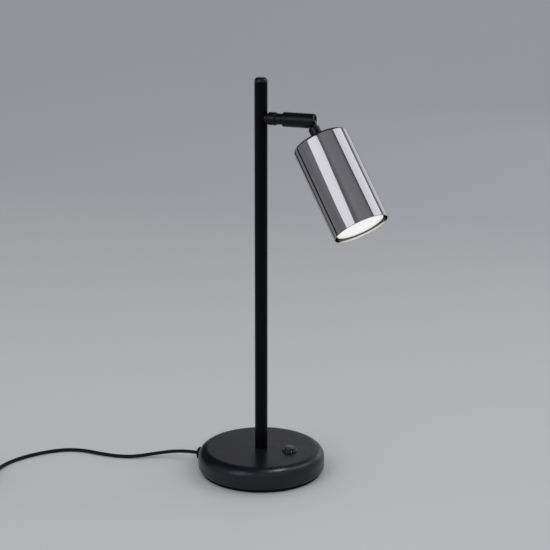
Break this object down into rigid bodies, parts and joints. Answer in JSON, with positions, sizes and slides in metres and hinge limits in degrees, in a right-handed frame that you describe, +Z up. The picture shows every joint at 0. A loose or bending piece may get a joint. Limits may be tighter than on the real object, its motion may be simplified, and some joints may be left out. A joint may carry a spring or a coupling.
{
  "type": "desk lamp",
  "caption": "Desk lamp with a weighted round base, straight pole, swivelling arm joint and tilting tubular spot head, push switch on the base and mains lead.",
  "frame": {"origin": "centre of the base's underside, on the surface the lamp stands on", "axes": "+Z up along the pole, +X from the pole along the arm, the lead leaves towards -X"},
  "size_m": [0.5122, 0.2821, 0.4245],
  "materials": {
    "satin_black": "satin powder coat",
    "black_nickel": "polished black nickel",
    "pad_foam": "matte foam",
    "iron": "as cast",
    "zinc_steel": "zinc plated",
    "black_rubber": "matte",
    "switch_wire": "matte",
    "black_plastic": "fine matte",
    "switch_plastic": "gloss",
    "white_nylon": "matte",
    "ceramic": "glazed",
    "lamp_white": "satin",
    "lamp_glow": "frosted",
    "brass_plated": "nickel plated"
  },
  "bodies": {
    "stand": {"base_pad": "pad_foam", "base_weight": "iron", "base_cover": "satin_black", "spacer_tube": "zinc_steel", "pole_stud": "zinc_steel", "stud_washer": "zinc_steel", "stud_nut": "zinc_steel", "pole": "satin_black", "pole_cap": "satin_black", "pole_insert": "zinc_steel", "arm_collar": "satin_black", "swivel_grub_screw": "zinc_steel", "cord_outlet": "black_rubber", "cord_inner": "black_rubber", "cord_clamp": "black_plastic", "inner_screws": "zinc_steel", "terminal_block": "white_nylon", "terminal_screws": "zinc_steel", "pole_wire": "black_rubber", "switch_wires": "switch_wire", "switch_housing": "switch_plastic", "switch_nut": "zinc_steel", "switch_terminals": "brass_plated", "switch_spring": "zinc_steel", "cord_lead": "black_rubber", "cord_coil": "black_rubber", "coil_tie": "black_plastic", "cord_tail": "black_rubber", "plug_body": "black_plastic", "plug_pins": "brass_plated"},
    "button": {"switch_button": "switch_plastic"},
    "arm": {"swivel_washer": "black_plastic", "arm_neck": "satin_black", "joint_barrel": "satin_black", "hinge_pin": "zinc_steel", "arm_wire": "black_rubber"},
    "head": {"head_neck": "satin_black", "shade": "black_nickel", "holder_bracket": "zinc_steel", "head_washer": "zinc_steel", "head_nut": "zinc_steel", "lamp_holder": "ceramic", "holder_screws": "zinc_steel", "lamp_body": "lamp_white", "lamp_lens": "lamp_glow", "lamp_pins": "brass_plated", "head_wire": "black_rubber"}
  },
  "joints": [
    {"name": "switch_press", "type": "slide", "parent": "stand", "child": "button", "axis": [0, 0, -1], "range_m": [0, 0.0022], "stiffness_N_per_m": 700, "springref_m": -0.001, "deforming": ["switch_spring"]},
    {"name": "arm_swivel", "type": "hinge", "parent": "stand", "child": "arm", "pos_m": [0, 0, 0.383], "axis": [1, 0, 0], "range_deg": [-134, 175]},
    {"name": "head_tilt", "type": "hinge", "parent": "arm", "child": "head", "pos_m": [0.0532, 0, 0.383], "axis": [0, 0.9367, -0.3502], "range_deg": [-56.6, 32.3]}
  ]
}
